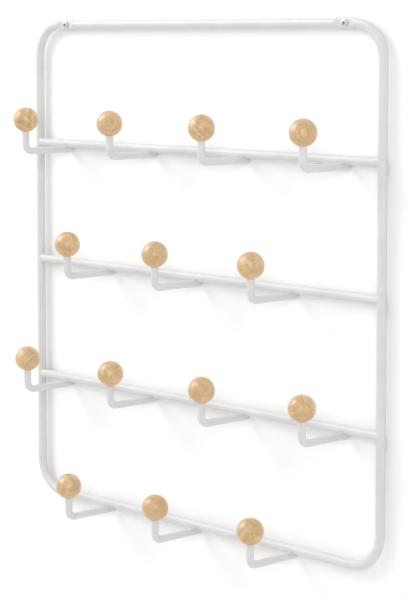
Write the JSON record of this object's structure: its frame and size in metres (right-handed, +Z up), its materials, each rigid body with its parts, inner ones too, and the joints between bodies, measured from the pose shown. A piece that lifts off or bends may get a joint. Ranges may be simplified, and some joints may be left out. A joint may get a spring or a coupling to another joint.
{
  "type": "wall coat rack",
  "caption": "Wall-hung coat rack: rounded-corner tube frame with crossbars and staggered rows of bent-rod hooks, each ending in a wooden ball.",
  "frame": {"origin": "on the wall, halfway between the two wall screws, level with the top tube's centre line", "axes": "+Z up along the wall, +Y into the wall, +X to the right of someone facing the rack"},
  "size_m": [0.5336, 0.1157, 0.5564],
  "materials": {
    "white_powder_coat": "satin white powder coat",
    "beech": "clear matt lacquer over beech",
    "nickel_plate": "bright nickel plate",
    "brass": "machined",
    "pale_rubber": "matt"
  },
  "bodies": {
    "root": {"frame_tube": "white_powder_coat", "crossbar_1": "white_powder_coat", "crossbar_2": "white_powder_coat", "crossbar_3": "white_powder_coat", "hook_row1_1": "white_powder_coat", "hook_row1_2": "white_powder_coat", "hook_row1_3": "white_powder_coat", "hook_row1_4": "white_powder_coat", "hook_row2_1": "white_powder_coat", "hook_row2_2": "white_powder_coat", "hook_row2_3": "white_powder_coat", "hook_row3_1": "white_powder_coat", "hook_row3_2": "white_powder_coat", "hook_row3_3": "white_powder_coat", "hook_row3_4": "white_powder_coat", "hook_row4_1": "white_powder_coat", "hook_row4_2": "white_powder_coat", "hook_row4_3": "white_powder_coat", "knob_row1_1": "beech", "knob_row1_2": "beech", "knob_row1_3": "beech", "knob_row1_4": "beech", "knob_row2_1": "beech", "knob_row2_2": "beech", "knob_row2_3": "beech", "knob_row3_1": "beech", "knob_row3_2": "beech", "knob_row3_3": "beech", "knob_row3_4": "beech", "knob_row4_1": "beech", "knob_row4_2": "beech", "knob_row4_3": "beech", "knob_inserts": "brass", "wall_screws": "nickel_plate", "screw_pads": "pale_rubber", "bottom_pads": "pale_rubber"}
  },
  "joints": []
}
